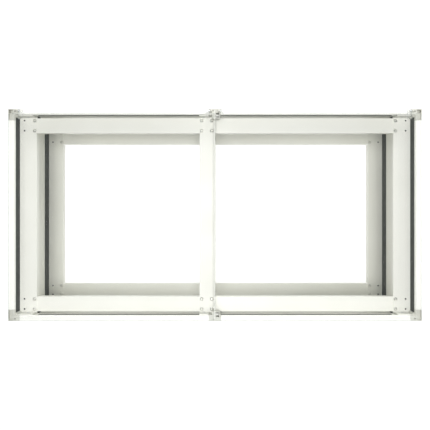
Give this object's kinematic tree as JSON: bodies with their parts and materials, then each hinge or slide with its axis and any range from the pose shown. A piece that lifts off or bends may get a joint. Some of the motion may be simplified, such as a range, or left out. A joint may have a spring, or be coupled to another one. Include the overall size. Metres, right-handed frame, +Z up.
{
  "type": "cold frame",
  "caption": "Low open-bottomed plant frame with double-skin walls, a rim capping, bolted inner ledge rings, a middle bar and clear hinged lights over both bays.",
  "frame": {"origin": "on the ground at the centre of the footprint", "axes": "+X along the frame to the right, +Y to the hinged back, +Z up"},
  "size_m": [1.2, 0.615, 0.402],
  "materials": {
    "cream_coat": "fine satin powder coat",
    "wall_coat": "fine satin powder coat on folded sheet",
    "fitting_coat": "coated casting, slightly coarser",
    "seal_rubber": "matt EPDM strip",
    "zinc": "zinc plated",
    "black_steel": "black oxide",
    "clear_pane": "clear sheet",
    "clear_hinge": "clear moulding"
  },
  "bodies": {
    "frame": {"capping_end_left": "cream_coat", "capping_end_right": "cream_coat", "capping_front_left": "cream_coat", "capping_front_right": "cream_coat", "capping_back_left": "cream_coat", "capping_back_right": "cream_coat", "corner_fitting_front_left": "fitting_coat", "corner_fitting_front_right": "fitting_coat", "corner_fitting_back_left": "fitting_coat", "corner_fitting_back_right": "fitting_coat", "centre_fitting_front": "fitting_coat", "centre_fitting_back": "fitting_coat", "corner_post_front_left": "cream_coat", "corner_post_front_right": "cream_coat", "corner_post_back_left": "cream_coat", "corner_post_back_right": "cream_coat", "centre_post_front": "cream_coat", "centre_post_back": "cream_coat", "wall_end_left": "wall_coat", "wall_end_right": "wall_coat", "wall_front_left": "wall_coat", "wall_front_right": "wall_coat", "wall_back_left": "wall_coat", "wall_back_right": "wall_coat", "liner_end_left": "wall_coat", "liner_end_right": "wall_coat", "liner_front_left": "wall_coat", "liner_front_right": "wall_coat", "liner_back_left": "wall_coat", "liner_back_right": "wall_coat", "upper_stile_left": "cream_coat", "upper_stile_right": "cream_coat", "upper_centre_bar": "cream_coat", "upper_rail_front_left": "cream_coat", "upper_rail_front_right": "cream_coat", "upper_rail_back_left": "cream_coat", "upper_rail_back_right": "cream_coat", "lower_stile_left": "cream_coat", "lower_stile_right": "cream_coat", "lower_centre_bar": "cream_coat", "lower_rail_front_left": "cream_coat", "lower_rail_front_right": "cream_coat", "lower_rail_back_left": "cream_coat", "lower_rail_back_right": "cream_coat", "seal_upper_left": "seal_rubber", "seal_upper_right": "seal_rubber", "seal_lower_left": "seal_rubber", "seal_lower_right": "seal_rubber", "seal_front": "seal_rubber", "seal_back": "seal_rubber", "ring_bolts": "zinc", "ring_nuts": "zinc", "threaded_inserts": "black_steel", "wall_rivets": "zinc", "web_bolts": "cream_coat", "hinge_pins": "zinc"},
    "left_light": {"light_left": "clear_pane", "hinge_blocks_left": "clear_hinge"},
    "right_light": {"light_right": "clear_pane", "hinge_blocks_right": "clear_hinge"}
  },
  "joints": [
    {"name": "left_light_hinge", "type": "hinge", "parent": "frame", "child": "left_light", "pos_m": [-0.3, 0.301, 0.3965], "axis": [-1, 0, 0], "range_deg": [0, 100]},
    {"name": "right_light_hinge", "type": "hinge", "parent": "frame", "child": "right_light", "pos_m": [0.3, 0.301, 0.3965], "axis": [-1, 0, 0], "range_deg": [0, 100]}
  ]
}
